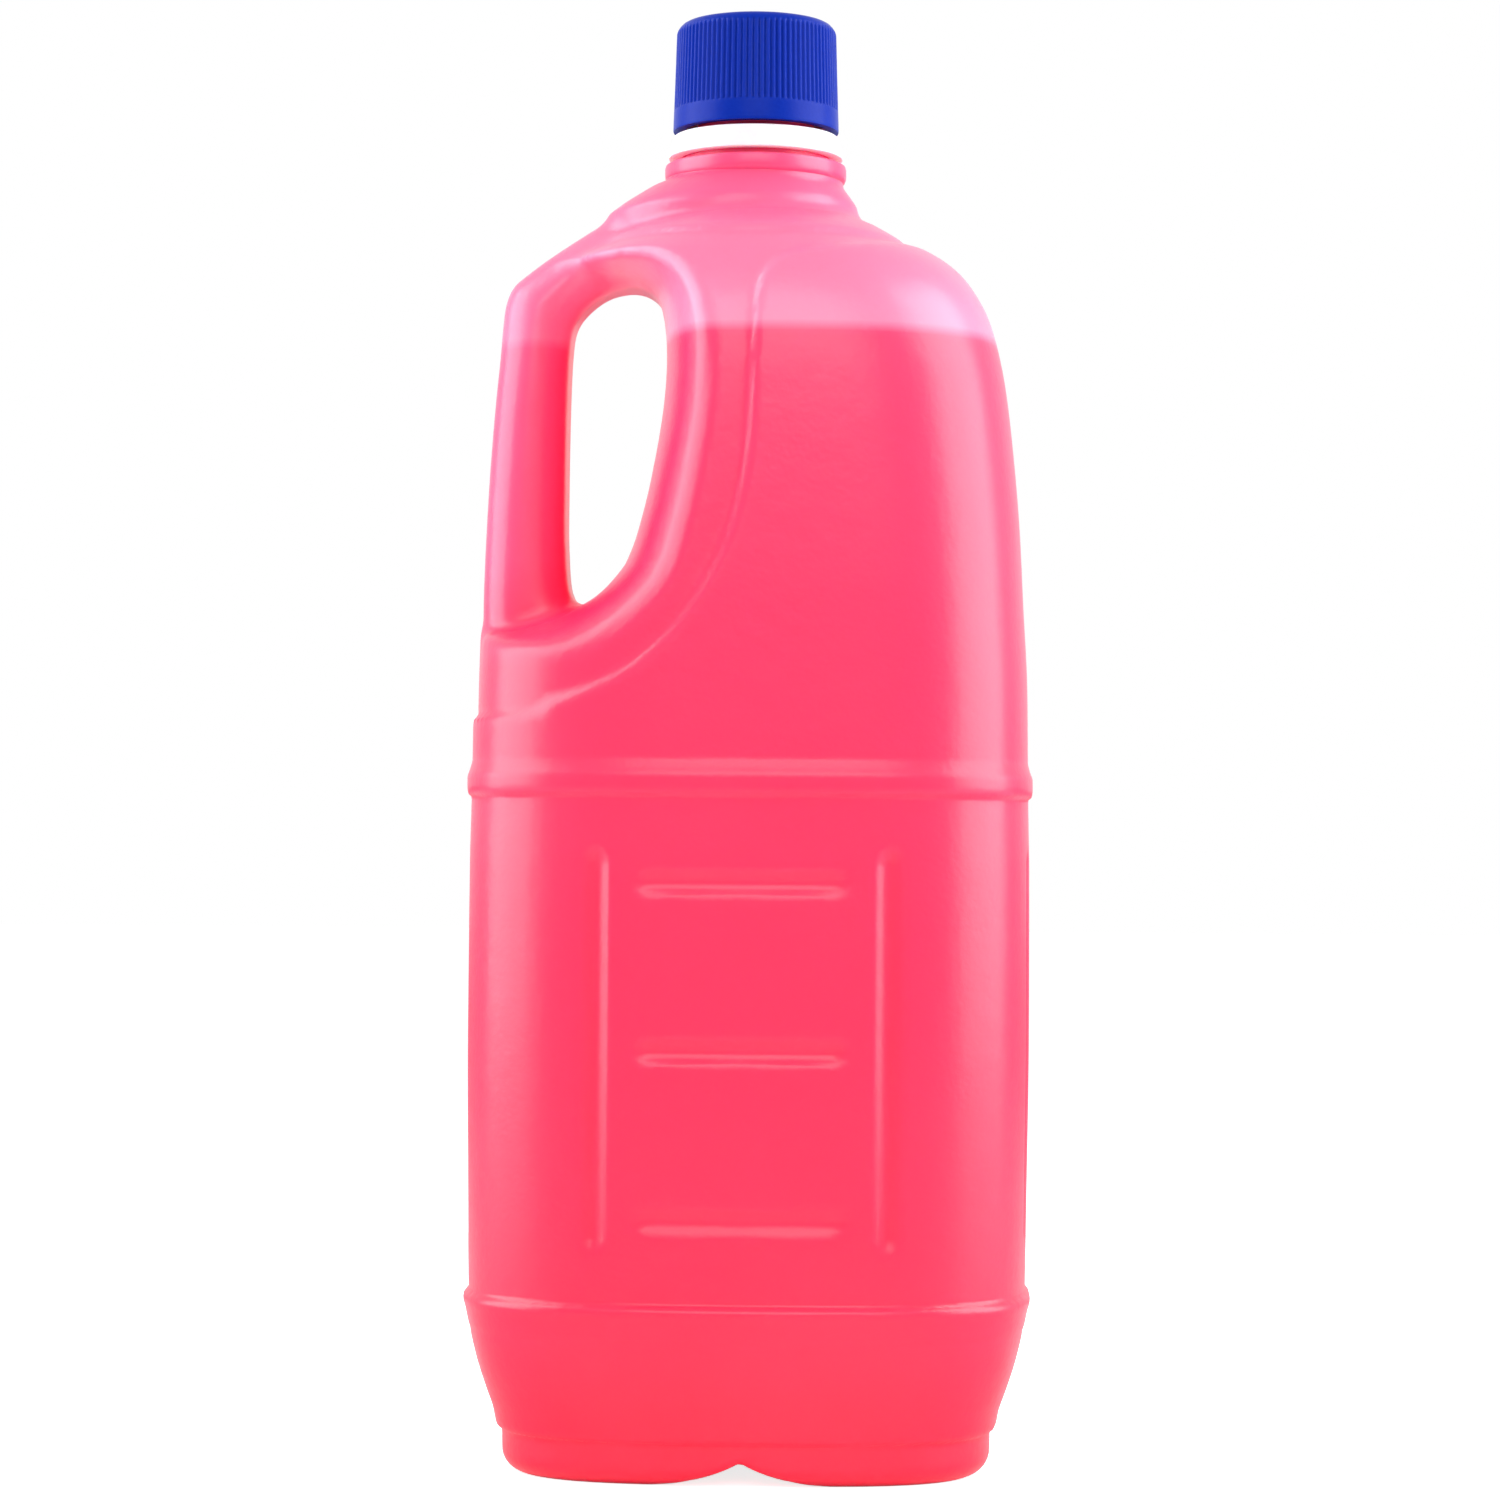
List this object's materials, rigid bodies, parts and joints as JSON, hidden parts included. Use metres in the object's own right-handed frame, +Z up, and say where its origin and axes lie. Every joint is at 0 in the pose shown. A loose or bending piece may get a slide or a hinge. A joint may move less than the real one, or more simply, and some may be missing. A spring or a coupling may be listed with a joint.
{
  "type": "jug bottle",
  "caption": "Two-litre translucent plastic jug bottle of denatured alcohol with a hollow side handle, tamper ring and push-and-turn ribbed cap.",
  "frame": {"origin": "centre of the standing base, in the plane it stands on", "axes": "+Z up, -Y towards the front, -X towards the handle"},
  "size_m": [0.1191, 0.09, 0.305],
  "materials": {
    "bottle_plastic": "translucent natural polyethylene, semi-matte, tinted by the liquid",
    "liquid": "clear red liquid",
    "white_plastic": "white satin plastic",
    "foam": "white closed-cell foam",
    "blue_plastic": "blue satin plastic"
  },
  "bodies": {
    "bottle": {"bottle": "bottle_plastic", "alcohol": "liquid", "tamper_ring": "white_plastic"},
    "wad": {"sealing_wad": "foam"},
    "inner_cap": {"inner_cap": "white_plastic"},
    "outer_cap": {"outer_cap": "blue_plastic"}
  },
  "joints": [
    {"name": "cap_lift", "type": "slide", "parent": "bottle", "child": "wad", "axis": [0, 0, 1], "range_m": [0, 0.019]},
    {"name": "cap_turn", "type": "hinge", "parent": "wad", "child": "inner_cap", "pos_m": [0, 0, 0.29], "axis": [0, 0, 1], "range_deg": [0, 810]},
    {"name": "cap_push", "type": "slide", "parent": "inner_cap", "child": "outer_cap", "axis": [0, 0, 1], "range_m": [-0.0007, 0], "stiffness_N_per_m": 3000, "springref_m": 0.0005}
  ],
  "couplings": [
    {"joint": "cap_lift", "follows": "cap_turn", "m_per_rad": 0.0013369}
  ]
}
